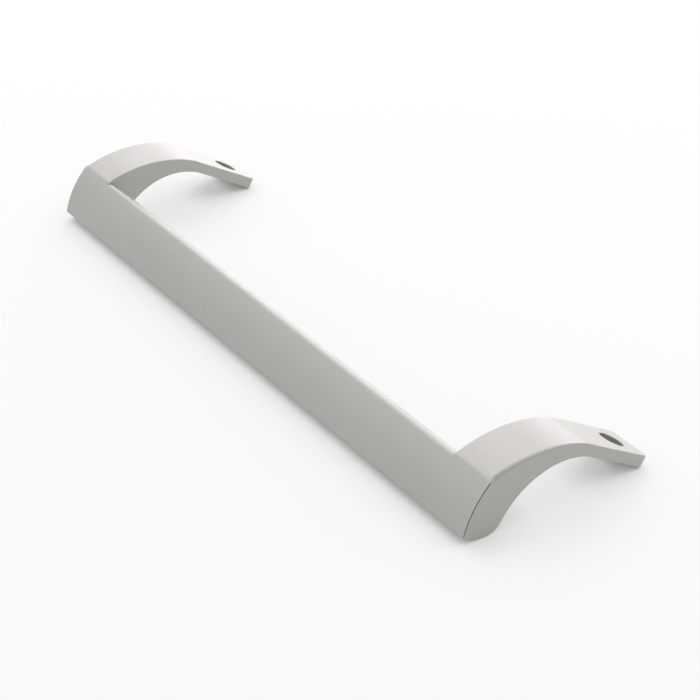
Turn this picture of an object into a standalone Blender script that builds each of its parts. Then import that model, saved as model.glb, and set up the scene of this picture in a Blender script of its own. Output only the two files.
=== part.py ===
"""A refrigerator door handle, moulded in one piece.

A long bar of D-shaped section carries an arched arm at each end. Each arm ends in a flat foot
with one counterbored screw hole. The feet lie on the narrow side of the door, the arms arch
round its front corner, and the bar stands off in front of the door with room for the fingers.

The side outline is drawn in the door's own frame, in a plane whose first axis runs back from the
crown of the front face and whose second axis runs up from the underside of the feet. One half
of the handle is lofted there and mirrored. The finished handle then lies as it rests on a
table, on the round of its bar and on the ends of its feet.

Run with: blender --background --python part.py
"""

import math
from dataclasses import dataclass

import bmesh
import bpy
from mathutils import Vector

MM = 0.001

# Overall sizes
HOLE_SPACING = 310 * MM
ARM_WIDTH = 24 * MM
DEPTH = 90.5 * MM

# Front face: heights below the underside of the feet, and how far its middle stands proud
FACE_TOP = 18.6 * MM
FACE_BOTTOM = 45.4 * MM
FACE_CROWN = 2 * MM

# Bar section; its top leaves the front face a step below the shoulder
BAR_THICKNESS = 19.4 * MM
BAR_BOTTOM = 45.7 * MM
BAR_TOP_STEP = 0.75 * MM
BAR_TOP_RADIUS = 2.2 * MM

# Arms and feet
SHOULDER_RADIUS = 5.6 * MM
ARCH_HEIGHT = 35.9 * MM
FOOT_THICKNESS = 5.6 * MM
FOOT_SEAT_LENGTH = 35.2 * MM
FOOT_TOP_LENGTH = 42.6 * MM
CREASE_ANGLE = math.radians(5.2)
FOOT_CORNER_RADIUS = 3 * MM

# Edges along the tops of the arms, softest on the outside behind the shoulder, and the crisp
# ones where the mould parts
OUTER_EDGE_RADIUS = 2 * MM
INNER_EDGE_RADIUS = 0.8 * MM
FOOT_EDGE_RADIUS = 0.7 * MM
CRISP_RADIUS = 0.35 * MM

# Screw holes
HOLE_END_DISTANCE = 13.3 * MM
COUNTERBORE_DIAMETER = 11.6 * MM
SCREW_SEAT_THICKNESS = 2.4 * MM
SCREW_HOLE_DIAMETER = 5.2 * MM
RIM_CHAMFER = 0.3 * MM

# Parting line of the mould: a fine groove on each end face, beside the front face
PARTING_INSET = 0.1 * MM
PARTING_WIDTH = 0.4 * MM
PARTING_DEPTH = 0.4 * MM

# Facets
ARC_STEP = math.radians(2.5)
EDGE_STEPS = 5
TURNED_STEPS = 48

# How far a cutter reaches past what it cuts, the smallest length that counts as one, and the
# thinnest wall whose edge is still rounded
CUT_MARGIN = 1 * MM
TINY = 0.001 * MM
THIN_WALL = 0.3 * MM

# The turn from which two steps of the outline, or two facets, meet in a corner
CORNER_ANGLE = math.radians(20)

LENGTH = HOLE_SPACING + ARM_WIDTH
END_X = LENGTH / 2
INNER_X = END_X - ARM_WIDTH

COLLECTION_NAME = "refrigerator_door_handle"
CUTTER_COLLECTION_NAME = "cutters"
NODE_NAME = "door_handle"


@dataclass
class Rim:
    """A point of the side outline, and how the edge there is rounded towards a side face."""

    place: Vector
    inset: Vector
    reach: float

    def at(self, face_x, inward, step):
        """The point at one step of its rounding: 0 on the outline, the last on the side face."""
        turn = math.pi / 2 * step / EDGE_STEPS
        x = face_x + inward * self.reach * (1 - math.sin(turn))
        place = self.place + self.inset * (1 - math.cos(turn))
        return x, place.x, place.y


@dataclass
class EndRim:
    """A point of the foot's end, which turns round the foot's corner to the side face."""

    place: Vector
    reach: float = FOOT_CORNER_RADIUS

    def at(self, face_x, inward, step):
        """The point at one step of its turn: 0 on the outline, the last on the side face."""
        turn = math.pi / 2 * step / EDGE_STEPS
        pivot = DEPTH - self.reach
        arm = self.place.x - pivot
        return face_x + inward * (self.reach - arm * math.sin(turn)), pivot + arm * math.cos(turn), self.place.y


def arc(centre, radius, start, end, steps=None):
    """Points of a circular arc from one angle to another, both ends included."""
    return ellipse(centre, radius, radius, start, end, steps)


def ellipse(centre, half_width, half_height, start, end, steps=None):
    """Points of an elliptical arc from one angle to another, both ends included."""
    steps = steps or max(2, math.ceil(abs(end - start) / ARC_STEP))
    angles = [start + (end - start) * i / steps for i in range(steps + 1)]
    return [
        Vector((centre.x + half_width * math.cos(a), centre.y + half_height * math.sin(a)))
        for a in angles
    ]


def angle_of(offset):
    """The angle of an offset in the plane, from 0 to a full turn."""
    return math.atan2(offset.y, offset.x) % math.tau


def crossing(centre_a, radius_a, centre_b, radius_b):
    """The crossing of two circles that lies to the left on the way from a to b."""
    apart = centre_b - centre_a
    along = (apart.length_squared + radius_a**2 - radius_b**2) / (2 * apart.length)
    aside = math.sqrt(radius_a**2 - along**2)
    direction = apart.normalized()
    left = Vector((-direction.y, direction.x))
    return centre_a + direction * along + left * aside


def front_circle():
    """Centre and radius of the crowned front face, which passes through both its corners."""
    half_height = (FACE_BOTTOM - FACE_TOP) / 2
    radius = (half_height**2 + FACE_CROWN**2) / (2 * FACE_CROWN)
    return Vector((radius, -(FACE_TOP + FACE_BOTTOM) / 2)), radius


def top_circle():
    """Centre and radius of the arm's top, from the crease of the foot to the front face."""
    crease = Vector((DEPTH - FOOT_TOP_LENGTH, FOOT_THICKNESS))
    inward = Vector((math.sin(CREASE_ANGLE), -math.cos(CREASE_ANGLE)))
    reach = Vector((FACE_CROWN, -FACE_TOP)) - crease
    radius = reach.length_squared / (2 * reach.dot(inward))
    return crease + inward * radius, radius


def shoulder():
    """Centre of the round between the front face and the arm's top, and its two end angles."""
    face_centre, face_radius = front_circle()
    top_centre, top_radius = top_circle()
    centre = crossing(top_centre, top_radius - SHOULDER_RADIUS, face_centre, face_radius - SHOULDER_RADIUS)
    return centre, angle_of(centre - face_centre), angle_of(centre - top_centre)


def bar_top_centre():
    """Centre of the round between the front face and the top of the bar, below the shoulder."""
    centre, radius = front_circle()
    _, face_end, _ = shoulder()
    joint = face_end + BAR_TOP_STEP / radius
    return centre + (radius - BAR_TOP_RADIUS) * Vector((math.cos(joint), math.sin(joint)))


def front_chain():
    """Up the front face, from its lower corner to the round of the bar's top."""
    centre, radius = front_circle()
    corner = angle_of(Vector((FACE_CROWN, -FACE_BOTTOM)) - centre)
    return arc(centre, radius, corner, angle_of(bar_top_centre() - centre))


def arm_chain(edge_radius):
    """Over the arm, from the front face to the back of the bar.

    Returns the points and, for the step that leaves each point, the radius of its edge. That
    radius grows round the shoulder to the one given, and shrinks from there to the foot's.
    """
    face_centre, face_radius = front_circle()
    top_centre, top_radius = top_circle()
    shoulder_centre, face_end, top_start = shoulder()
    bar_joint = angle_of(bar_top_centre() - face_centre)
    crease = math.pi / 2 + CREASE_ANGLE
    foot_corner = Vector((DEPTH - FOOT_CORNER_RADIUS, FOOT_THICKNESS))
    foot_end_centre = Vector((DEPTH - FOOT_EDGE_RADIUS, FOOT_THICKNESS - FOOT_EDGE_RADIUS))
    foot_end = arc(foot_end_centre, FOOT_EDGE_RADIUS, math.pi / 2, 0, EDGE_STEPS)
    seat_start = Vector((DEPTH - FOOT_SEAT_LENGTH, 0))
    arch_centre = seat_start - Vector((0, ARCH_HEIGHT))
    arch_reach = seat_start.x - BAR_THICKNESS
    arch = ellipse(arch_centre, arch_reach, ARCH_HEIGHT, math.pi / 2, math.pi)

    stretches = [
        (arc(face_centre, face_radius, bar_joint, face_end), CRISP_RADIUS, CRISP_RADIUS),
        (arc(shoulder_centre, SHOULDER_RADIUS, face_end, top_start), CRISP_RADIUS, edge_radius),
        (arc(top_centre, top_radius, top_start, crease), edge_radius, FOOT_EDGE_RADIUS),
        ([foot_corner], FOOT_EDGE_RADIUS, FOOT_EDGE_RADIUS),
        (foot_end + [Vector((DEPTH, 0))], 0, 0),
        (arch, CRISP_RADIUS, CRISP_RADIUS),
    ]
    points = []
    radii = []
    for stretch, first, last in stretches:
        fresh = [p for p in stretch if not points or (p - points[-1]).length > TINY]
        points += fresh
        radii += [first + (last - first) * i / len(fresh) for i in range(1, len(fresh) + 1)]
    return points, radii[:-1]


def bottom_chain():
    """The bar's round underside, from its back down and forward to the front face's corner."""
    half_height = BAR_BOTTOM - ARCH_HEIGHT
    share = math.sqrt(1 - ((FACE_BOTTOM - ARCH_HEIGHT) / half_height) ** 2)
    middle = (FACE_CROWN + BAR_THICKNESS * share) / (1 + share)
    centre = Vector((middle, -ARCH_HEIGHT))
    return ellipse(centre, BAR_THICKNESS - middle, half_height, 0, -math.pi / 2 - math.asin(share))


def back_chain():
    """The bar's own way between the arms, from the front face over its top and down its back."""
    face_centre, _ = front_circle()
    round_centre = bar_top_centre()
    centre = Vector((round_centre.x, -ARCH_HEIGHT))
    half_width = BAR_THICKNESS - centre.x
    half_height = round_centre.y + BAR_TOP_RADIUS - centre.y
    chain = arc(round_centre, BAR_TOP_RADIUS, angle_of(round_centre - face_centre), math.pi / 2)
    return chain + ellipse(centre, half_width, half_height, math.pi / 2, 0)[1:]


def rim(before, place, after, radius_before, radius_after):
    """How a point of the outline is rounded, from its neighbours and its two steps' radii."""
    if place.x > DEPTH - FOOT_CORNER_RADIUS + TINY:
        return EndRim(place)
    arriving = (place - before).normalized()
    leaving = (after - place).normalized()
    inward_a = Vector((arriving.y, -arriving.x))
    inward_b = Vector((leaving.y, -leaving.x))
    turn = inward_a.cross(inward_b)
    if abs(turn) < math.sin(CORNER_ANGLE):
        radius = (radius_before + radius_after) / 2
        return Rim(place, (inward_a + inward_b).normalized() * radius, radius)
    along_x = (radius_before * inward_b.y - radius_after * inward_a.y) / turn
    along_y = (radius_after * inward_a.x - radius_before * inward_b.x) / turn
    return Rim(place, Vector((along_x, along_y)), max(radius_before, radius_after))


def distance_to(place, row):
    """Distance from a place to the nearest step of a row of points."""
    nearest = []
    for start, end in zip(row, row[1:]):
        step = end - start
        share = min(1, max(0, (place - start).dot(step) / step.length_squared))
        nearest.append((place - start - step * share).length)
    return min(nearest)


def wall_limited(item, wall):
    """A rim whose rounding takes at most half of the wall under it, and none of a thin wall."""
    if isinstance(item, EndRim):
        return item
    room = distance_to(item.place, wall)
    share = min(1, room / 2 / item.reach) if room > THIN_WALL else 0
    return Rim(item.place, item.inset * share, item.reach * share)


def skin(mesh, first, second):
    """Faces between two rows of vertices, which may share some of them."""
    for i in range(len(first) - 1):
        corners = []
        for vertex in (first[i], first[i + 1], second[i + 1], second[i]):
            if vertex not in corners:
                corners.append(vertex)
        if len(corners) > 2:
            mesh.faces.new(corners)


def closed(row):
    """A row of vertices that comes back to its first."""
    return row + row[:1]


def skin_edge(mesh, rings, seam):
    """Faces along a rounded edge, and the top of the foot's corner that follows the seam.

    The points after the seam turn round that corner, and the last ring brings them back to it.
    """
    for previous, ring in zip(rings, rings[1:]):
        skin(mesh, previous[: seam + 1], ring[: seam + 1])
        skin(mesh, previous[seam + 1 :], ring[seam + 1 :])
    mesh.faces.new([ring[seam + 1] for ring in rings])


def without_foot_end(ring, seam):
    """The last ring of an edge without the points that lie on the seam."""
    return ring[: seam + 1] + ring[seam + 2 + EDGE_STEPS :]


def end_rims(edge_radius):
    """The whole outline of an end face as rims, for the radius of its edge over the arm."""
    front = front_chain()
    arm, arm_radii = arm_chain(edge_radius)
    bottom = bottom_chain()
    outline = front[:-1] + arm[:-1] + bottom[:-1]
    radii = [CRISP_RADIUS] * (len(front) - 1) + arm_radii + [CRISP_RADIUS] * (len(bottom) - 1)
    following = outline[1:] + outline[:1]
    return [
        rim(outline[i - 1], outline[i], following[i], radii[i - 1], radii[i])
        for i in range(len(outline))
    ]


def half_handle(mesh):
    """Lofts the half from the middle of the bar to its end; the middle stays open."""
    outer_rims = end_rims(OUTER_EDGE_RADIUS)
    arm_start = len(front_chain()) - 1
    arm_end = len(outer_rims) - len(bottom_chain()) + 1
    back = back_chain()
    arm_rims = [wall_limited(item, back) for item in end_rims(INNER_EDGE_RADIUS)[arm_start + 1 : arm_end]]
    arm_seam = [isinstance(item, EndRim) for item in arm_rims].index(True)
    seam = arm_start + arm_seam

    def row(coordinates):
        return [mesh.verts.new(c) for c in coordinates]

    inner = row((INNER_X, item.place.x, item.place.y) for item in outer_rims[: arm_start + 1])
    inner += row(item.at(INNER_X, 1, 0) for item in arm_rims)
    inner += row((INNER_X, item.place.x, item.place.y) for item in outer_rims[arm_end:])

    rings = [row(item.at(END_X, -1, step) for item in outer_rims) for step in range(EDGE_STEPS + 1)]
    skin(mesh, closed(inner), closed(rings[0]))
    skin_edge(mesh, [closed(ring) for ring in rings], seam)
    mesh.faces.new(without_foot_end(rings[-1], seam))

    chains = [inner[arm_start : arm_end + 1]]
    for step in range(1, EDGE_STEPS + 1):
        last = chains[-1]
        fresh = [
            mesh.verts.new(item.at(INNER_X, 1, step)) if item.reach else below
            for item, below in zip(arm_rims, last[1:])
        ]
        chains.append(last[:1] + fresh + last[-1:])
    skin_edge(mesh, chains, arm_seam)
    back_row = row((INNER_X, p.x, p.y) for p in back[1:-1])
    mesh.faces.new(without_foot_end(chains[-1], arm_seam) + back_row[::-1])

    bar_ring = inner[: arm_start + 1] + back_row + inner[arm_end:]
    middle = row((0, vertex.co.y, vertex.co.z) for vertex in bar_ring)
    skin(mesh, closed(bar_ring), closed(middle))
    bmesh.ops.remove_doubles(mesh, verts=mesh.verts, dist=TINY)
    bmesh.ops.recalc_face_normals(mesh, faces=mesh.faces)


def rest_tilt():
    """How far the handle leans when its bar and the ends of its feet lie on a level plane."""
    return max(math.atan2(-p.y, DEPTH - p.x) for p in bottom_chain())


def satin_silver():
    """The silver-grey satin paint of the moulding."""
    material = bpy.data.materials.new("satin_silver")
    material.use_nodes = True
    shader = material.node_tree.nodes["Principled BSDF"]
    shader.inputs["Base Color"].default_value = (0.42, 0.42, 0.40, 1)
    shader.inputs["Roughness"].default_value = 0.42
    shader.inputs["Metallic"].default_value = 0.25
    return material


def new_object(name, mesh, collection, parent=None):
    """An object made from a bmesh, linked to a collection."""
    data = bpy.data.meshes.new(name)
    mesh.to_mesh(data)
    mesh.free()
    item = bpy.data.objects.new(name, data)
    item.parent = parent
    collection.objects.link(item)
    return item


def hide_cutter(item):
    """Shows a cutter as a wire only, and keeps it out of renders."""
    item.display_type = "WIRE"
    item.hide_render = True


def screw_hole_cutter(side, collection, parent):
    """A turned cutter for the counterbore, its chamfered rim and the screw's own hole."""
    bore = COUNTERBORE_DIAMETER / 2
    above = CUT_MARGIN
    profile = [
        (0, FOOT_THICKNESS + above),
        (bore + RIM_CHAMFER + above, FOOT_THICKNESS + above),
        (bore, FOOT_THICKNESS - RIM_CHAMFER),
        (bore, SCREW_SEAT_THICKNESS),
        (SCREW_HOLE_DIAMETER / 2, SCREW_SEAT_THICKNESS),
        (SCREW_HOLE_DIAMETER / 2, -CUT_MARGIN),
        (0, -CUT_MARGIN),
    ]
    mesh = bmesh.new()
    corners = [mesh.verts.new((radius, 0, height)) for radius, height in profile]
    for upper, lower in zip(corners, corners[1:]):
        mesh.edges.new((upper, lower))
    item = new_object(f"screw_hole_{side}", mesh, collection, parent)
    sign = 1 if side == "right" else -1
    item.location = (sign * HOLE_SPACING / 2, DEPTH - HOLE_END_DISTANCE, 0)
    turned = item.modifiers.new("turned", "SCREW")
    turned.steps = TURNED_STEPS
    turned.render_steps = TURNED_STEPS
    turned.use_merge_vertices = True
    turned.merge_threshold = TINY
    hide_cutter(item)


def parting_cutter(side, collection, parent):
    """A thin curved strip that cuts the parting line into an end face, beside the front face."""
    centre, radius = front_circle()
    outer = radius - PARTING_INSET
    margin = CUT_MARGIN / radius
    lower = angle_of(Vector((FACE_CROWN, -FACE_BOTTOM)) - centre) + margin
    _, upper, _ = shoulder()
    outline = arc(centre, outer, lower, upper) + arc(centre, outer - PARTING_WIDTH, upper, lower)
    sign = 1 if side == "right" else -1
    mesh = bmesh.new()
    floor_x = sign * (END_X - PARTING_DEPTH)
    floor = mesh.faces.new([mesh.verts.new((floor_x, p.x, p.y)) for p in outline])
    grown = bmesh.ops.extrude_face_region(mesh, geom=[floor])["geom"]
    moved = [part for part in grown if isinstance(part, bmesh.types.BMVert)]
    bmesh.ops.translate(mesh, verts=moved, vec=(sign * (PARTING_DEPTH + CUT_MARGIN), 0, 0))
    bmesh.ops.recalc_face_normals(mesh, faces=mesh.faces)
    hide_cutter(new_object(f"parting_line_{side}", mesh, collection, parent))


def rest_on_table(handle):
    """Lays the handle down, its lowest points at height 0 and its middle on the other axes."""
    handle.rotation_euler.x = -rest_tilt()
    bpy.context.view_layer.update()
    shape = handle.evaluated_get(bpy.context.evaluated_depsgraph_get())
    corners = [shape.matrix_world @ vertex.co for vertex in shape.data.vertices]
    middle = (min(c.y for c in corners) + max(c.y for c in corners)) / 2
    handle.location = (0, -middle, -min(c.z for c in corners))
    bpy.context.view_layer.update()


def main():
    for item in list(bpy.data.objects):
        bpy.data.objects.remove(item, do_unlink=True)
    collection = bpy.data.collections.new(COLLECTION_NAME)
    cutters = bpy.data.collections.new(CUTTER_COLLECTION_NAME)
    bpy.context.scene.collection.children.link(collection)
    bpy.context.scene.collection.children.link(cutters)

    mesh = bmesh.new()
    half_handle(mesh)
    handle = new_object(NODE_NAME, mesh, collection)
    handle.data.materials.append(satin_silver())
    handle.data.shade_smooth()
    handle.data.set_sharp_from_angle(angle=CORNER_ANGLE)

    mirror = handle.modifiers.new("other_half", "MIRROR")
    mirror.merge_threshold = TINY
    for side in ("left", "right"):
        screw_hole_cutter(side, cutters, handle)
        parting_cutter(side, cutters, handle)
    cut = handle.modifiers.new("holes_and_parting_lines", "BOOLEAN")
    cut.operation = "DIFFERENCE"
    cut.solver = "EXACT"
    cut.operand_type = "COLLECTION"
    cut.collection = cutters

    rest_on_table(handle)


main()
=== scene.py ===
# %% [markdown]
# A refrigerator door handle in satin silver paint.
# The real thing is one moulding: a long bar whose front face is slightly crowned, an arched arm
# at each end of it, and on each arm a flat foot with a screw hole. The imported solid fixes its
# size and its place. This notebook builds the same form with finer steps and smoother shading,
# paints it, and photographs it lying in a plain light tent.

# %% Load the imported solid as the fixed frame
import math
from dataclasses import dataclass

import bmesh
import bpy
from mathutils import Matrix, Vector


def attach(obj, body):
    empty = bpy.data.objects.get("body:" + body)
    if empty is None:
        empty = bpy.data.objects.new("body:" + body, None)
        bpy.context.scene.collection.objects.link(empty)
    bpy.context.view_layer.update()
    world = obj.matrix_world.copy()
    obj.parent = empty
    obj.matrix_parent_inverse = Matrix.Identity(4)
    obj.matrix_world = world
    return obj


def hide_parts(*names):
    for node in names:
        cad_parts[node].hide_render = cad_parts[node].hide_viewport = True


MM = 0.001

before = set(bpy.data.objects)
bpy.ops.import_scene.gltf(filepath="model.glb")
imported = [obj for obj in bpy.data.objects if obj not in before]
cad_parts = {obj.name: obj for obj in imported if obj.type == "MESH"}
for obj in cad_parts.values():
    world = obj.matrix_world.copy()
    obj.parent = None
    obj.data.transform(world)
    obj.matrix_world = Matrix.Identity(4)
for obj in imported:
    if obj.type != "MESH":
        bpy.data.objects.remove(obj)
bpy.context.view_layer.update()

# %% [markdown]
# Every length below is a real one. The side outline is drawn in a plane: its first axis runs
# back from the crown of the front face, its second axis runs up from the underside of the feet,
# so the bar hangs below zero. The third direction, along the bar, is only a width.

# %% Sizes of the handle
HOLE_SPACING = 310 * MM
ARM_WIDTH = 24 * MM
DEPTH = 90.5 * MM

FACE_TOP = 18.6 * MM
FACE_BOTTOM = 45.4 * MM
FACE_CROWN = 2 * MM
SHOULDER_RADIUS = 5.6 * MM

BAR_THICKNESS = 19.4 * MM
BAR_BOTTOM = 45.7 * MM
BAR_TOP_STEP = 0.75 * MM
BAR_TOP_RADIUS = 2.2 * MM

ARCH_HEIGHT = 35.9 * MM
FOOT_THICKNESS = 5.6 * MM
FOOT_SEAT_LENGTH = 35.2 * MM
FOOT_TOP_LENGTH = 42.6 * MM
CREASE_ANGLE = math.radians(5.2)

end_x = (HOLE_SPACING + ARM_WIDTH) / 2
inner_x = end_x - ARM_WIDTH
print("overall length, in mm:", round(2 * end_x / MM, 1))

# %% [markdown]
# Most of the outline is round, so one helper is enough: an elliptical arc from one angle to
# another, with a point at least every degree. A circle is the ellipse with equal half axes.

# %% A helper for arcs
ARC_STEP = math.radians(1)
QUARTER_TURN = math.pi / 2


def ellipse(centre, half_width, half_height, start, end, steps=None):
    steps = steps or max(2, math.ceil(abs(end - start) / ARC_STEP))
    angles = [start + (end - start) * i / steps for i in range(steps + 1)]
    return [centre + Vector((half_width * math.cos(a), half_height * math.sin(a))) for a in angles]


def arc(centre, radius, start, end, steps=None):
    return ellipse(centre, radius, radius, start, end, steps)


def angle_of(offset):
    return math.atan2(offset.y, offset.x) % math.tau


# %% [markdown]
# The front face is an arc through its two corners, which stand a little behind its crown. The
# top of the arm is an arc too: it leaves the foot at a faint crease and comes down to the upper
# corner of the face. Both circles follow from where they pass.

# %% Circles of the front face and of the arm's top
face_half = (FACE_BOTTOM - FACE_TOP) / 2
face_radius = (face_half**2 + FACE_CROWN**2) / (2 * FACE_CROWN)
face_centre = Vector((face_radius, -(FACE_TOP + FACE_BOTTOM) / 2))

crease = Vector((DEPTH - FOOT_TOP_LENGTH, FOOT_THICKNESS))
into_arm = Vector((math.sin(CREASE_ANGLE), -math.cos(CREASE_ANGLE)))
to_face = Vector((FACE_CROWN, -FACE_TOP)) - crease
top_radius = to_face.length_squared / (2 * to_face.dot(into_arm))
top_centre = crease + into_arm * top_radius
print("radius of the front face, in mm:", round(face_radius / MM, 1))
print("radius of the arm's top, in mm:", round(top_radius / MM, 1))

# %% [markdown]
# The shoulder rounds the corner between them. A circle that touches two others from inside has
# its centre where two smaller circles cross, each with the shoulder's radius taken off.

# %% The shoulder, and the round at the top of the bar


def crossing(centre_a, radius_a, centre_b, radius_b):
    apart = centre_b - centre_a
    along = (apart.length_squared + radius_a**2 - radius_b**2) / (2 * apart.length)
    aside = math.sqrt(radius_a**2 - along**2)
    direction = apart.normalized()
    return centre_a + direction * along + Vector((-direction.y, direction.x)) * aside


shoulder_centre = crossing(
    top_centre, top_radius - SHOULDER_RADIUS, face_centre, face_radius - SHOULDER_RADIUS
)
face_end = angle_of(shoulder_centre - face_centre)
shoulder_end = angle_of(shoulder_centre - top_centre)
bar_joint = face_end + BAR_TOP_STEP / face_radius
bar_top_reach = face_radius - BAR_TOP_RADIUS
bar_top_centre = face_centre + bar_top_reach * Vector((math.cos(bar_joint), math.sin(bar_joint)))

# %% [markdown]
# The mould leaves unlike edges: crisp where its halves part, soft along the tops of the arms and
# softest on the outside behind the shoulder, and round corners at the ends of the feet. So each
# step of the outline carries the radius of its edge, which can change from one end of a stretch
# to the other.

# %% The outline of an end face, with the radius of its edge
OUTER_EDGE_RADIUS = 2 * MM
INNER_EDGE_RADIUS = 0.8 * MM
FOOT_EDGE_RADIUS = 0.7 * MM
FOOT_CORNER_RADIUS = 3 * MM
CRISP_RADIUS = 0.35 * MM
EDGE_STEPS = 8
TINY = 0.001 * MM


@dataclass
class Stretch:
    points: list
    first_radius: float
    last_radius: float


def front_face():
    corner = angle_of(Vector((FACE_CROWN, -FACE_BOTTOM)) - face_centre)
    return arc(face_centre, face_radius, corner, bar_joint)


def underside():
    half_height = BAR_BOTTOM - ARCH_HEIGHT
    share = math.sqrt(1 - ((FACE_BOTTOM - ARCH_HEIGHT) / half_height) ** 2)
    middle = (FACE_CROWN + BAR_THICKNESS * share) / (1 + share)
    centre = Vector((middle, -ARCH_HEIGHT))
    return ellipse(centre, BAR_THICKNESS - middle, half_height, 0, -QUARTER_TURN - math.asin(share))


def over_the_arm(edge_radius):
    seat_start = Vector((DEPTH - FOOT_SEAT_LENGTH, 0))
    arch_centre = seat_start - Vector((0, ARCH_HEIGHT))
    arch_reach = seat_start.x - BAR_THICKNESS
    foot_corner = Vector((DEPTH - FOOT_CORNER_RADIUS, FOOT_THICKNESS))
    foot_end_centre = Vector((DEPTH - FOOT_EDGE_RADIUS, FOOT_THICKNESS - FOOT_EDGE_RADIUS))
    to_shoulder = arc(face_centre, face_radius, bar_joint, face_end)
    round_shoulder = arc(shoulder_centre, SHOULDER_RADIUS, face_end, shoulder_end)
    top = arc(top_centre, top_radius, shoulder_end, QUARTER_TURN + CREASE_ANGLE)
    foot_end = arc(foot_end_centre, FOOT_EDGE_RADIUS, QUARTER_TURN, 0, EDGE_STEPS)
    arch = ellipse(arch_centre, arch_reach, ARCH_HEIGHT, QUARTER_TURN, math.pi)
    return [
        Stretch(to_shoulder, CRISP_RADIUS, CRISP_RADIUS),
        Stretch(round_shoulder, CRISP_RADIUS, edge_radius),
        Stretch(top, edge_radius, FOOT_EDGE_RADIUS),
        Stretch([foot_corner], FOOT_EDGE_RADIUS, FOOT_EDGE_RADIUS),
        Stretch(foot_end + [Vector((DEPTH, 0))], 0, 0),
        Stretch(arch, CRISP_RADIUS, CRISP_RADIUS),
    ]


def end_outline(edge_radius):
    stretches = [Stretch(front_face(), CRISP_RADIUS, CRISP_RADIUS)]
    stretches += over_the_arm(edge_radius)
    stretches += [Stretch(underside(), CRISP_RADIUS, CRISP_RADIUS)]
    points = []
    radii = []
    for stretch in stretches:
        fresh = [p for p in stretch.points if not points or (p - points[-1]).length > TINY]
        points += fresh
        change = stretch.last_radius - stretch.first_radius
        radii += [stretch.first_radius + change * i / len(fresh) for i in range(1, len(fresh) + 1)]
    return points[:-1], radii[:-1]


outline, _ = end_outline(OUTER_EDGE_RADIUS)
print("points round an end face:", len(outline))

# %% [markdown]
# A bevel tool struggles where the radius changes on an outline of many short steps. It is easier
# to work out, for every point, how far its edge is pushed into the side face, and to skin a few
# rings between the two. At a corner both steps are pushed in by their own radius, and the
# crossing of the two gives the point's inset. The end of a foot is different: seen from above
# its corners are round, so there the points turn about the upright axis of that corner.

# %% How each point of the outline is rounded
CORNER_ANGLE = math.radians(20)


@dataclass
class Rim:
    place: Vector
    inset: Vector
    reach: float

    def at(self, face_x, inward, step):
        turn = QUARTER_TURN * step / EDGE_STEPS
        place = self.place + self.inset * (1 - math.cos(turn))
        return face_x + inward * self.reach * (1 - math.sin(turn)), place.x, place.y


@dataclass
class EndRim:
    place: Vector
    reach: float = FOOT_CORNER_RADIUS

    def at(self, face_x, inward, step):
        turn = QUARTER_TURN * step / EDGE_STEPS
        pivot = DEPTH - self.reach
        arm = self.place.x - pivot
        along = face_x + inward * (self.reach - arm * math.sin(turn))
        return along, pivot + arm * math.cos(turn), self.place.y


def rim(before, place, after, radius_before, radius_after):
    if place.x > DEPTH - FOOT_CORNER_RADIUS + TINY:
        return EndRim(place)
    arriving = (place - before).normalized()
    leaving = (after - place).normalized()
    inward_a = Vector((arriving.y, -arriving.x))
    inward_b = Vector((leaving.y, -leaving.x))
    turn = inward_a.cross(inward_b)
    if abs(turn) < math.sin(CORNER_ANGLE):
        radius = (radius_before + radius_after) / 2
        return Rim(place, (inward_a + inward_b).normalized() * radius, radius)
    along_x = (radius_before * inward_b.y - radius_after * inward_a.y) / turn
    along_y = (radius_after * inward_a.x - radius_before * inward_b.x) / turn
    return Rim(place, Vector((along_x, along_y)), max(radius_before, radius_after))


def rims_of(edge_radius):
    points, radii = end_outline(edge_radius)
    following = points[1:] + points[:1]
    return [
        rim(points[i - 1], points[i], following[i], radii[i - 1], radii[i])
        for i in range(len(points))
    ]


# %% [markdown]
# Between the arms the bar has a back of its own, level with the face's upper edge and then round
# down to the arch. On the inner side of an arm the rounding must not eat through the thin wall
# where the arm leaves the bar, so there it takes half of the wall at most, and nothing where
# the wall is thinner still.

# %% The back of the bar, and the thin wall beside it
THIN_WALL = 0.3 * MM
WALL_SHARE = 0.5


def bar_back():
    centre = Vector((bar_top_centre.x, -ARCH_HEIGHT))
    half_width = BAR_THICKNESS - centre.x
    half_height = bar_top_centre.y + BAR_TOP_RADIUS - centre.y
    top = arc(bar_top_centre, BAR_TOP_RADIUS, bar_joint, QUARTER_TURN)
    return top + ellipse(centre, half_width, half_height, QUARTER_TURN, 0)[1:]


def distance_to(place, row):
    nearest = []
    for start, end in zip(row, row[1:]):
        step = end - start
        share = min(1, max(0, (place - start).dot(step) / step.length_squared))
        nearest.append((place - start - step * share).length)
    return min(nearest)


def wall_limited(item, wall):
    if isinstance(item, EndRim):
        return item
    room = distance_to(item.place, wall)
    share = min(1, room * WALL_SHARE / item.reach) if room > THIN_WALL else 0
    return Rim(item.place, item.inset * share, item.reach * share)


# %% [markdown]
# Now the loft. Rings of points run round the end, from the flat outer face over its rounded edge
# to the inner side of the arm. The strip over the arm turns in again at the inner side, and the
# bar goes on alone to the middle of the handle, where the half stays open for its mirror image.
# At the foot's corner the turning points come back to the seam where they began, so the faces
# stop there and one more face closes the top of the corner.

# %% Loft one half of the handle


def skin(mesh, first, second):
    for i in range(len(first) - 1):
        corners = []
        for vertex in (first[i], first[i + 1], second[i + 1], second[i]):
            if vertex not in corners:
                corners.append(vertex)
        if len(corners) > 2:
            mesh.faces.new(corners)


def row(mesh, coordinates):
    return [mesh.verts.new(c) for c in coordinates]


def closed(vertices):
    return vertices + vertices[:1]


def skin_edge(mesh, rings, seam):
    for previous, ring in zip(rings, rings[1:]):
        skin(mesh, previous[: seam + 1], ring[: seam + 1])
        skin(mesh, previous[seam + 1 :], ring[seam + 1 :])
    mesh.faces.new([ring[seam + 1] for ring in rings])


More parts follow.
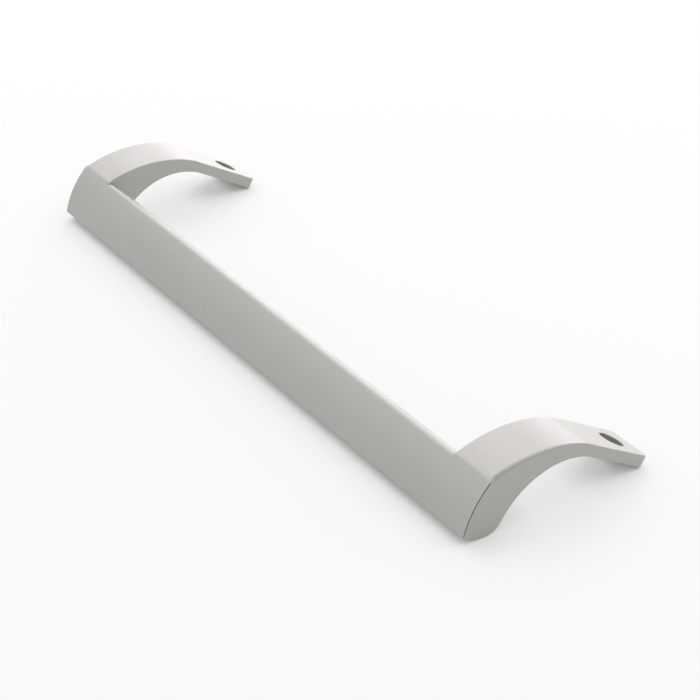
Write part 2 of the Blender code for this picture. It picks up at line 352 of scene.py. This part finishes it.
def without_foot_end(ring, seam):
    return ring[: seam + 1] + ring[seam + 2 + EDGE_STEPS :]


def outer_side(mesh, rims, inner, seam):
    rings = []
    for step in range(EDGE_STEPS + 1):
        rings.append(row(mesh, (item.at(end_x, -1, step) for item in rims)))
    skin(mesh, closed(inner), closed(rings[0]))
    skin_edge(mesh, [closed(ring) for ring in rings], seam)
    mesh.faces.new(without_foot_end(rings[-1], seam))


def inner_side(mesh, rims, chain, back_row, seam):
    chains = [chain]
    for step in range(1, EDGE_STEPS + 1):
        last = chains[-1]
        fresh = [
            mesh.verts.new(item.at(inner_x, 1, step)) if item.reach else below
            for item, below in zip(rims, last[1:])
        ]
        chains.append(last[:1] + fresh + last[-1:])
    skin_edge(mesh, chains, seam)
    mesh.faces.new(without_foot_end(chains[-1], seam) + back_row[::-1])


def loft_half():
    mesh = bmesh.new()
    outer_rims = rims_of(OUTER_EDGE_RADIUS)
    back = bar_back()
    first = len(front_face()) - 1
    last = len(outer_rims) - len(underside()) + 1
    arm_rims = [wall_limited(item, back) for item in rims_of(INNER_EDGE_RADIUS)[first + 1 : last]]
    arm_seam = [isinstance(item, EndRim) for item in arm_rims].index(True)
    inner = row(mesh, ((inner_x, item.place.x, item.place.y) for item in outer_rims[: first + 1]))
    inner += row(mesh, (item.at(inner_x, 1, 0) for item in arm_rims))
    inner += row(mesh, ((inner_x, item.place.x, item.place.y) for item in outer_rims[last:]))
    back_row = row(mesh, ((inner_x, p.x, p.y) for p in back[1:-1]))
    outer_side(mesh, outer_rims, inner, first + arm_seam)
    inner_side(mesh, arm_rims, inner[first : last + 1], back_row, arm_seam)
    bar_ring = inner[: first + 1] + back_row + inner[last:]
    middle = row(mesh, ((0, vertex.co.y, vertex.co.z) for vertex in bar_ring))
    skin(mesh, closed(bar_ring), closed(middle))
    bmesh.ops.remove_doubles(mesh, verts=mesh.verts, dist=TINY)
    bmesh.ops.recalc_face_normals(mesh, faces=mesh.faces)
    return mesh


def new_object(name, mesh):
    data = bpy.data.meshes.new(name)
    mesh.to_mesh(data)
    mesh.free()
    made = bpy.data.objects.new(name, data)
    bpy.context.scene.collection.objects.link(made)
    return made


half = new_object("half_handle", loft_half())
half.modifiers.new("other_half", "MIRROR").merge_threshold = TINY
print("faces of one half:", len(half.data.polygons))

# %% [markdown]
# The screw holes are turned shapes: a wide counterbore for the screw's head with a small chamfer
# round its mouth, and a narrower hole for the screw. A profile spun by the Screw modifier gives
# the cutter, and a Boolean takes it out of the foot.

# %% Cutters for the screw holes
HOLE_END_DISTANCE = 13.3 * MM
COUNTERBORE_DIAMETER = 11.6 * MM
SCREW_SEAT_THICKNESS = 2.4 * MM
SCREW_HOLE_DIAMETER = 5.2 * MM
RIM_CHAMFER = 0.3 * MM
CUT_MARGIN = 1 * MM
TURNED_STEPS = 96


def screw_hole(name, x):
    bore = COUNTERBORE_DIAMETER / 2
    profile = [
        (0, FOOT_THICKNESS + CUT_MARGIN),
        (bore + RIM_CHAMFER + CUT_MARGIN, FOOT_THICKNESS + CUT_MARGIN),
        (bore, FOOT_THICKNESS - RIM_CHAMFER),
        (bore, SCREW_SEAT_THICKNESS),
        (SCREW_HOLE_DIAMETER / 2, SCREW_SEAT_THICKNESS),
        (SCREW_HOLE_DIAMETER / 2, -CUT_MARGIN),
        (0, -CUT_MARGIN),
    ]
    mesh = bmesh.new()
    corners = row(mesh, ((radius, 0, height) for radius, height in profile))
    for upper, lower in zip(corners, corners[1:]):
        mesh.edges.new((upper, lower))
    cutter = new_object(name, mesh)
    cutter.location = (x, DEPTH - HOLE_END_DISTANCE, 0)
    turned = cutter.modifiers.new("turned", "SCREW")
    turned.steps = TURNED_STEPS
    turned.render_steps = TURNED_STEPS
    turned.use_merge_vertices = True
    turned.merge_threshold = TINY
    return cutter


cutters = [
    screw_hole("left_hole", -HOLE_SPACING / 2),
    screw_hole("right_hole", HOLE_SPACING / 2),
]

# %% [markdown]
# Where the halves of the mould met, a fine line runs down each end face beside the front face.
# It is real relief, less than half a millimetre wide and deep, and not a painted stripe: light
# falls into it, and it ends where the shoulder begins.

# %% Cutters for the parting lines
PARTING_INSET = 0.1 * MM
PARTING_WIDTH = 0.4 * MM
PARTING_DEPTH = 0.4 * MM


def parting_line(name, sign):
    outer = face_radius - PARTING_INSET
    lower = angle_of(Vector((FACE_CROWN, -FACE_BOTTOM)) - face_centre) + CUT_MARGIN / face_radius
    strip = arc(face_centre, outer, lower, face_end)
    strip += arc(face_centre, outer - PARTING_WIDTH, face_end, lower)
    floor_x = sign * (end_x - PARTING_DEPTH)
    mesh = bmesh.new()
    base = mesh.faces.new(row(mesh, ((floor_x, p.x, p.y) for p in strip)))
    grown = bmesh.ops.extrude_face_region(mesh, geom=[base])["geom"]
    moved = [part for part in grown if isinstance(part, bmesh.types.BMVert)]
    bmesh.ops.translate(mesh, verts=moved, vec=(sign * (PARTING_DEPTH + CUT_MARGIN), 0, 0))
    bmesh.ops.recalc_face_normals(mesh, faces=mesh.faces)
    return new_object(name, mesh)


cutters += [parting_line("left_parting_line", -1), parting_line("right_parting_line", 1)]

# %% [markdown]
# The modifiers are worked out once and kept as a plain mesh, so the cutters can go. Corners
# sharper than the corner angle stay sharp, and weighted normals keep the big flat faces flat
# beside the narrow rounded edges.

# %% Cut, mirror and finish the mesh


def cut_half(body, tools):
    shelf = bpy.data.collections.new("cutters")
    for tool in tools:
        shelf.objects.link(tool)
    cut = body.modifiers.new("cut", "BOOLEAN")
    cut.operation = "DIFFERENCE"
    cut.solver = "EXACT"
    cut.operand_type = "COLLECTION"
    cut.collection = shelf
    bpy.context.view_layer.update()
    worked_out = body.evaluated_get(bpy.context.evaluated_depsgraph_get())
    mesh = bpy.data.meshes.new_from_object(worked_out)
    for used in [body, *tools]:
        bpy.data.objects.remove(used, do_unlink=True)
    bpy.data.collections.remove(shelf)
    return mesh


def rest_tilt():
    return max(math.atan2(-p.y, DEPTH - p.x) for p in underside())


handle_mesh = cut_half(half, cutters)
handle_mesh.name = "door_handle_finish"
handle_mesh.transform(Matrix.Rotation(-rest_tilt(), 4, "X"))
heights = [v.co.z for v in handle_mesh.vertices]
depths = [v.co.y for v in handle_mesh.vertices]
to_table = Vector((0, -(min(depths) + max(depths)) / 2, -min(heights)))
handle_mesh.transform(Matrix.Translation(to_table))
handle_mesh.shade_smooth()
handle_mesh.set_sharp_from_angle(angle=CORNER_ANGLE)
handle = bpy.data.objects.new("satin_handle", handle_mesh)
bpy.context.scene.collection.objects.link(handle)
weighted = handle.modifiers.new("flat faces stay flat", "WEIGHTED_NORMAL")
weighted.keep_sharp = True
print("lean of the feet, in degrees:", round(math.degrees(rest_tilt()), 1))
print("triangles:", sum(len(face.vertices) - 2 for face in handle_mesh.polygons))

# %% [markdown]
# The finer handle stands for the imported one: it rides on the same body and lies in the same
# place, so nothing else in the frame changes.

# %% Let the finer handle stand for the solid
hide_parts("door_handle")
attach(handle, "root")

# %% [markdown]
# Shader nodes are sums and products, so it helps to write them that way. A Signal wraps a socket
# and turns Python's operators into Math nodes, also with a plain number on the left. A Bench
# makes every other node: its settings first, then the values or links of its sockets.

# %% A small language for shader nodes


class Signal:
    def __init__(self, bench, socket):
        self.bench = bench
        self.socket = socket

    def combine(self, operation, left, right):
        return self.bench.node("ShaderNodeMath", {"operation": operation}, {0: left, 1: right})

    def __add__(self, other):
        return self.combine("ADD", self, other)

    def __radd__(self, other):
        return self.combine("ADD", other, self)

    def __sub__(self, other):
        return self.combine("SUBTRACT", self, other)

    def __rsub__(self, other):
        return self.combine("SUBTRACT", other, self)

    def __mul__(self, other):
        return self.combine("MULTIPLY", self, other)

    def __rmul__(self, other):
        return self.combine("MULTIPLY", other, self)


class Bench:
    def __init__(self, name):
        self.material = bpy.data.materials.new(name)
        self.material.use_nodes = True
        self.tree = self.material.node_tree
        self.tree.nodes.clear()

    def node(self, kind, settings, sockets, output=0):
        made = self.tree.nodes.new(kind)
        for name, value in settings.items():
            setattr(made, name, value)
        for name, value in sockets.items():
            if isinstance(value, Signal):
                self.tree.links.new(value.socket, made.inputs[name])
            else:
                made.inputs[name].default_value = value
        return Signal(self, made.outputs[output]) if made.outputs else made

    def finish(self, shader):
        self.node("ShaderNodeOutputMaterial", {}, {"Surface": shader})
        return self.material


# %% [markdown]
# Satin silver paint is a layer of fine aluminium flakes under a dull lacquer. The flakes are
# metal, though darker than bare aluminium because grey pigment lies between them, and the
# lacquer adds the sheen that shows where the eye glances along the surface, as on the feet.
# Three scales of unevenness show up close: the grain of the flakes at half a millimetre, the
# slight orange peel of a sprayed coat at about two millimetres, and a broad drift of colour and
# gloss. Noise in object coordinates suits all three, because object coordinates are metres here
# and so each scale is a real length.

# %% Satin silver paint
FLAKE_SIZE = 0.5 * MM
PEEL_SIZE = 2.2 * MM
CLOUD_SIZE = 60 * MM
FLAKE_DARK = (0.28, 0.279, 0.25, 1)
FLAKE_LIGHT = (0.455, 0.453, 0.41, 1)
FLAKES_IN_COLOUR = 0.75
CLOUD_IN_COLOUR = 0.25
METALLIC = 0.85
ROUGHNESS = 0.53
FLAKES_IN_ROUGHNESS = 0.1
CLOUD_IN_ROUGHNESS = 0.06
BUMP_STRENGTH = 0.35
BUMP_HEIGHT = 0.05 * MM
PEEL_IN_BUMP = 0.7
FLAKES_IN_BUMP = 0.3
LACQUER_ROUGHNESS = 0.43
LACQUER_IOR = 2.1
NOISE_MIDDLE = 0.5

# A Mix node has sockets for each kind of value. These are the ones that blend colours.
MIX_FACTOR = 0
MIX_FIRST = 6
MIX_SECOND = 7
MIX_RESULT = 2


def noise(bench, place, size, detail):
    sockets = {"Vector": place, "Scale": 1 / size, "Detail": detail}
    return bench.node("ShaderNodeTexNoise", {}, sockets)


def satin_silver():
    bench = Bench("satin silver paint")
    place = bench.node("ShaderNodeTexCoord", {}, {}, "Object")
    flakes = noise(bench, place, FLAKE_SIZE, detail=2)
    peel = noise(bench, place, PEEL_SIZE, detail=1)
    cloud = noise(bench, place, CLOUD_SIZE, detail=2)
    shade = flakes * FLAKES_IN_COLOUR + cloud * CLOUD_IN_COLOUR
    colour = bench.node(
        "ShaderNodeMix",
        {"data_type": "RGBA"},
        {MIX_FACTOR: shade, MIX_FIRST: FLAKE_DARK, MIX_SECOND: FLAKE_LIGHT},
        MIX_RESULT,
    )
    relief = peel * PEEL_IN_BUMP + flakes * FLAKES_IN_BUMP
    bump = bench.node(
        "ShaderNodeBump",
        {},
        {"Strength": BUMP_STRENGTH, "Distance": BUMP_HEIGHT, "Height": relief},
    )
    dullness = ROUGHNESS + (cloud - NOISE_MIDDLE) * CLOUD_IN_ROUGHNESS
    dullness += (flakes - NOISE_MIDDLE) * FLAKES_IN_ROUGHNESS
    shader = bench.node(
        "ShaderNodeBsdfPrincipled",
        {},
        {
            "Base Color": colour,
            "Metallic": METALLIC,
            "Roughness": dullness,
            "Normal": bump,
            "Coat Weight": 1,
            "Coat Roughness": LACQUER_ROUGHNESS,
            "Coat IOR": LACQUER_IOR,
        },
    )
    return bench.finish(shader)


handle.data.materials.clear()
handle.data.materials.append(satin_silver())

# %% [markdown]
# The handle lies on a thick white sheet, lit so that it comes out almost white. Light spreads
# inside such a sheet for a centimetre or two, which makes broad shadows pale and leaves dark
# only the narrow places where something touches it. Tracing that light would take long. Here a
# share of plain white stands for it: it shows only to the camera and in reflections, so it
# lights nothing, and it fades where the handle is closer than the light could spread.

# %% The white sheet
SHEET_SIDE = 8  # metres
SHEET_COLOUR = (0.93, 0.93, 0.925, 1)
GLOW_SHARE = 0.56
GLOW_COLOUR = (0.945, 0.95, 0.95, 1)
GLOW_SPREAD = 18 * MM
OCCLUSION_SAMPLES = 8


def white_sheet():
    bench = Bench("white sheet")
    matt = bench.node("ShaderNodeBsdfDiffuse", {}, {"Color": SHEET_COLOUR})
    glow = bench.node("ShaderNodeEmission", {}, {"Color": GLOW_COLOUR, "Strength": 1})
    seen = bench.node("ShaderNodeLightPath", {}, {}, "Is Camera Ray")
    mirrored = bench.node("ShaderNodeLightPath", {}, {}, "Is Glossy Ray")
    refracted = bench.node("ShaderNodeLightPath", {}, {}, "Is Transmission Ray")
    open_sky = bench.node(
        "ShaderNodeAmbientOcclusion", {"samples": OCCLUSION_SAMPLES}, {"Distance": GLOW_SPREAD}, "AO"
    )
    share = (seen + mirrored + refracted) * open_sky * GLOW_SHARE
    return bench.finish(bench.node("ShaderNodeMixShader", {}, {0: share, 1: matt, 2: glow}))


def lay_sheet():
    mesh = bmesh.new()
    bmesh.ops.create_grid(mesh, x_segments=1, y_segments=1, size=SHEET_SIDE / 2)
    sheet = new_object("white_sheet", mesh)
    sheet.data.materials.append(white_sheet())


lay_sheet()

# %% [markdown]
# The shading tells where the light was. The tops of the arms are far brighter than the front
# face, and the end face is the darkest: so broad light came from beyond the far end and from
# behind, much of it from low down, and little from the side of the camera. The tops are also
# slightly pinker than the face, so those lamps were warmer than the rest. The rounded edge
# between the near arm's top and its end face stays bright almost to the end face, which takes
# two more boxes, high behind and behind to the right. Each soft box stands on a dome round the
# handle, turned to its middle. Its row gives the direction round the handle and above the sheet
# in degrees, the width and the height in metres, and the brightness counted against white.

# %% Soft boxes and a bright room
DOME_RADIUS = 2.6  # metres
WHITE_LIGHT = (1, 1, 1)
WARM_LIGHT = (1, 0.92, 0.975)
ROOM_COLOUR = (0.957, 1, 1, 1)
ROOM_BRIGHTNESS = 0.58


def soft_box(name, azimuth, elevation, width, height, brightness, colour):
    around = math.radians(azimuth)
    up = math.radians(elevation)
    level = math.cos(up)
    direction = Vector((math.cos(around) * level, math.sin(around) * level, math.sin(up)))
    lamp = bpy.data.lights.new(name, "AREA")
    lamp.shape = "RECTANGLE"
    lamp.size = width
    lamp.size_y = height
    lamp.energy = brightness * math.pi * width * height
    lamp.color = colour
    box = bpy.data.objects.new(name, lamp)
    bpy.context.scene.collection.objects.link(box)
    box.location = direction * DOME_RADIUS
    box.rotation_euler = direction.to_track_quat("Z", "Y").to_euler()


soft_box("high, beyond the far end", 170, 50, 2.6, 2.2, 1.17, WARM_LIGHT)
soft_box("low, beyond the far end", 160, 10, 3.4, 0.8, 1.03, WARM_LIGHT)
soft_box("behind, left", 135, 30, 2.4, 1.8, 0.56, WARM_LIGHT)
soft_box("low behind", 112, 8, 3.2, 0.6, 2.8, WARM_LIGHT)
soft_box("high behind", 80, 60, 2.2, 1.8, 0.85, WHITE_LIGHT)
soft_box("behind, right", 50, 40, 2.0, 2.0, 0.65, WHITE_LIGHT)
soft_box("front left", 225, 35, 2.0, 1.6, 0.7, WHITE_LIGHT)
soft_box("low front", 245, 12, 3.4, 0.9, 0.43, WHITE_LIGHT)

world = bpy.data.worlds.new("bright room")
world.use_nodes = True
background = world.node_tree.nodes["Background"]
background.inputs["Color"].default_value = ROOM_COLOUR
background.inputs["Strength"].default_value = ROOM_BRIGHTNESS
bpy.context.scene.world = world
bpy.context.scene.view_settings.view_transform = "Standard"

# %% [markdown]
# The camera looks down on the handle from beyond its right end, with a long lens, so the bar runs
# away to the upper left and the far arm is smaller than the near one. It leans a little to one
# side, as a camera held in the hand does.

# %% The camera
CAMERA_PLACE = Vector((0.6359, -0.4550, 0.4821))
AIM = Vector((0.0198, -0.0019, 0))
ROLL = math.radians(1.58)
LENS = 98.8  # millimetres, as the next
SENSOR_WIDTH = 36


def photographer():
    camera = bpy.data.cameras.new("camera")
    camera.lens = LENS
    camera.sensor_width = SENSOR_WIDTH
    holder = bpy.data.objects.new("camera", camera)
    bpy.context.scene.collection.objects.link(holder)
    holder.location = CAMERA_PLACE
    upright = (AIM - CAMERA_PLACE).to_track_quat("-Z", "Y").to_matrix().to_4x4()
    holder.rotation_euler = (upright @ Matrix.Rotation(ROLL, 4, "Z")).to_euler()
    bpy.context.scene.camera = holder
    return holder


camera = photographer()
bpy.context.view_layer.update()
print("camera's right axis:", [round(v, 4) for v in camera.matrix_world.to_3x3().col[0]])
